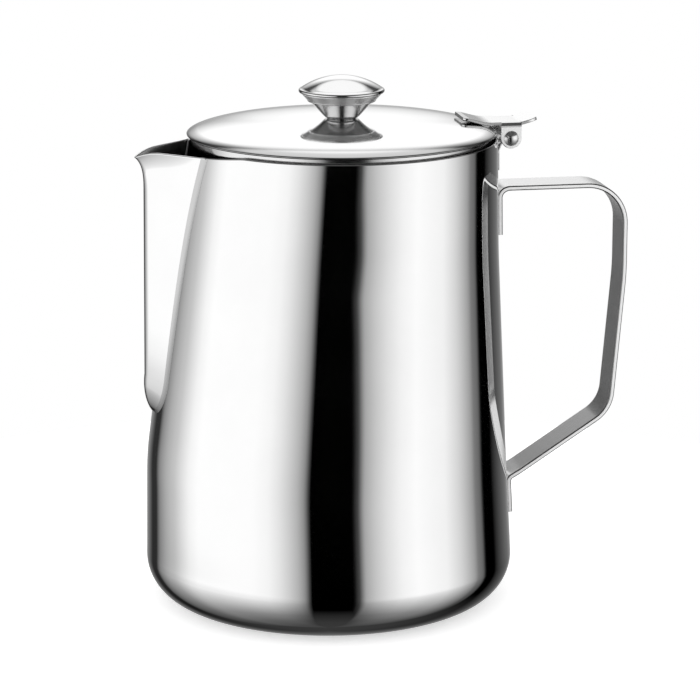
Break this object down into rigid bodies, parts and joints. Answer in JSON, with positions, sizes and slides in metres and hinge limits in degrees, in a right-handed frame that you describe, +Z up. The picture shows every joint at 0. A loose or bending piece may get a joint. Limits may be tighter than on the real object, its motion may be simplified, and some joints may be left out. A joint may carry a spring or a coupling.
{
  "type": "hot milk jug with lid",
  "caption": "Tapered steel jug with a pouring spout, a bent strip handle and a domed lid that swings up on a thumb hinge.",
  "frame": {"origin": "centre of the round flat base, on the table", "axes": "+Z up, -X towards the pouring spout, +X towards the handle"},
  "size_m": [0.1807, 0.1348, 0.1931],
  "materials": {
    "polished_steel": "mirror-polished stainless steel sheet",
    "strip_steel": "polished stainless steel strip with fine drawing lines",
    "knob_steel": "turned stainless steel, finely brushed in rings",
    "fastener_steel": "plain steel fastener"
  },
  "bodies": {
    "jug": {"jug_body": "polished_steel", "spout": "polished_steel", "handle": "strip_steel", "hinge_bracket": "strip_steel"},
    "lid": {"lid_dome": "polished_steel", "lid_plug_ring": "polished_steel", "thumb_plate": "strip_steel", "hinge_pin": "strip_steel", "knob_cap": "knob_steel", "knob_cone": "knob_steel", "knob_boss": "fastener_steel", "knob_washer": "fastener_steel", "knob_screw": "fastener_steel"}
  },
  "joints": [
    {"name": "lid_hinge", "type": "hinge", "parent": "jug", "child": "lid", "pos_m": [0.066, 0, 0.1696], "axis": [0, 1, 0], "range_deg": [0, 105]}
  ]
}
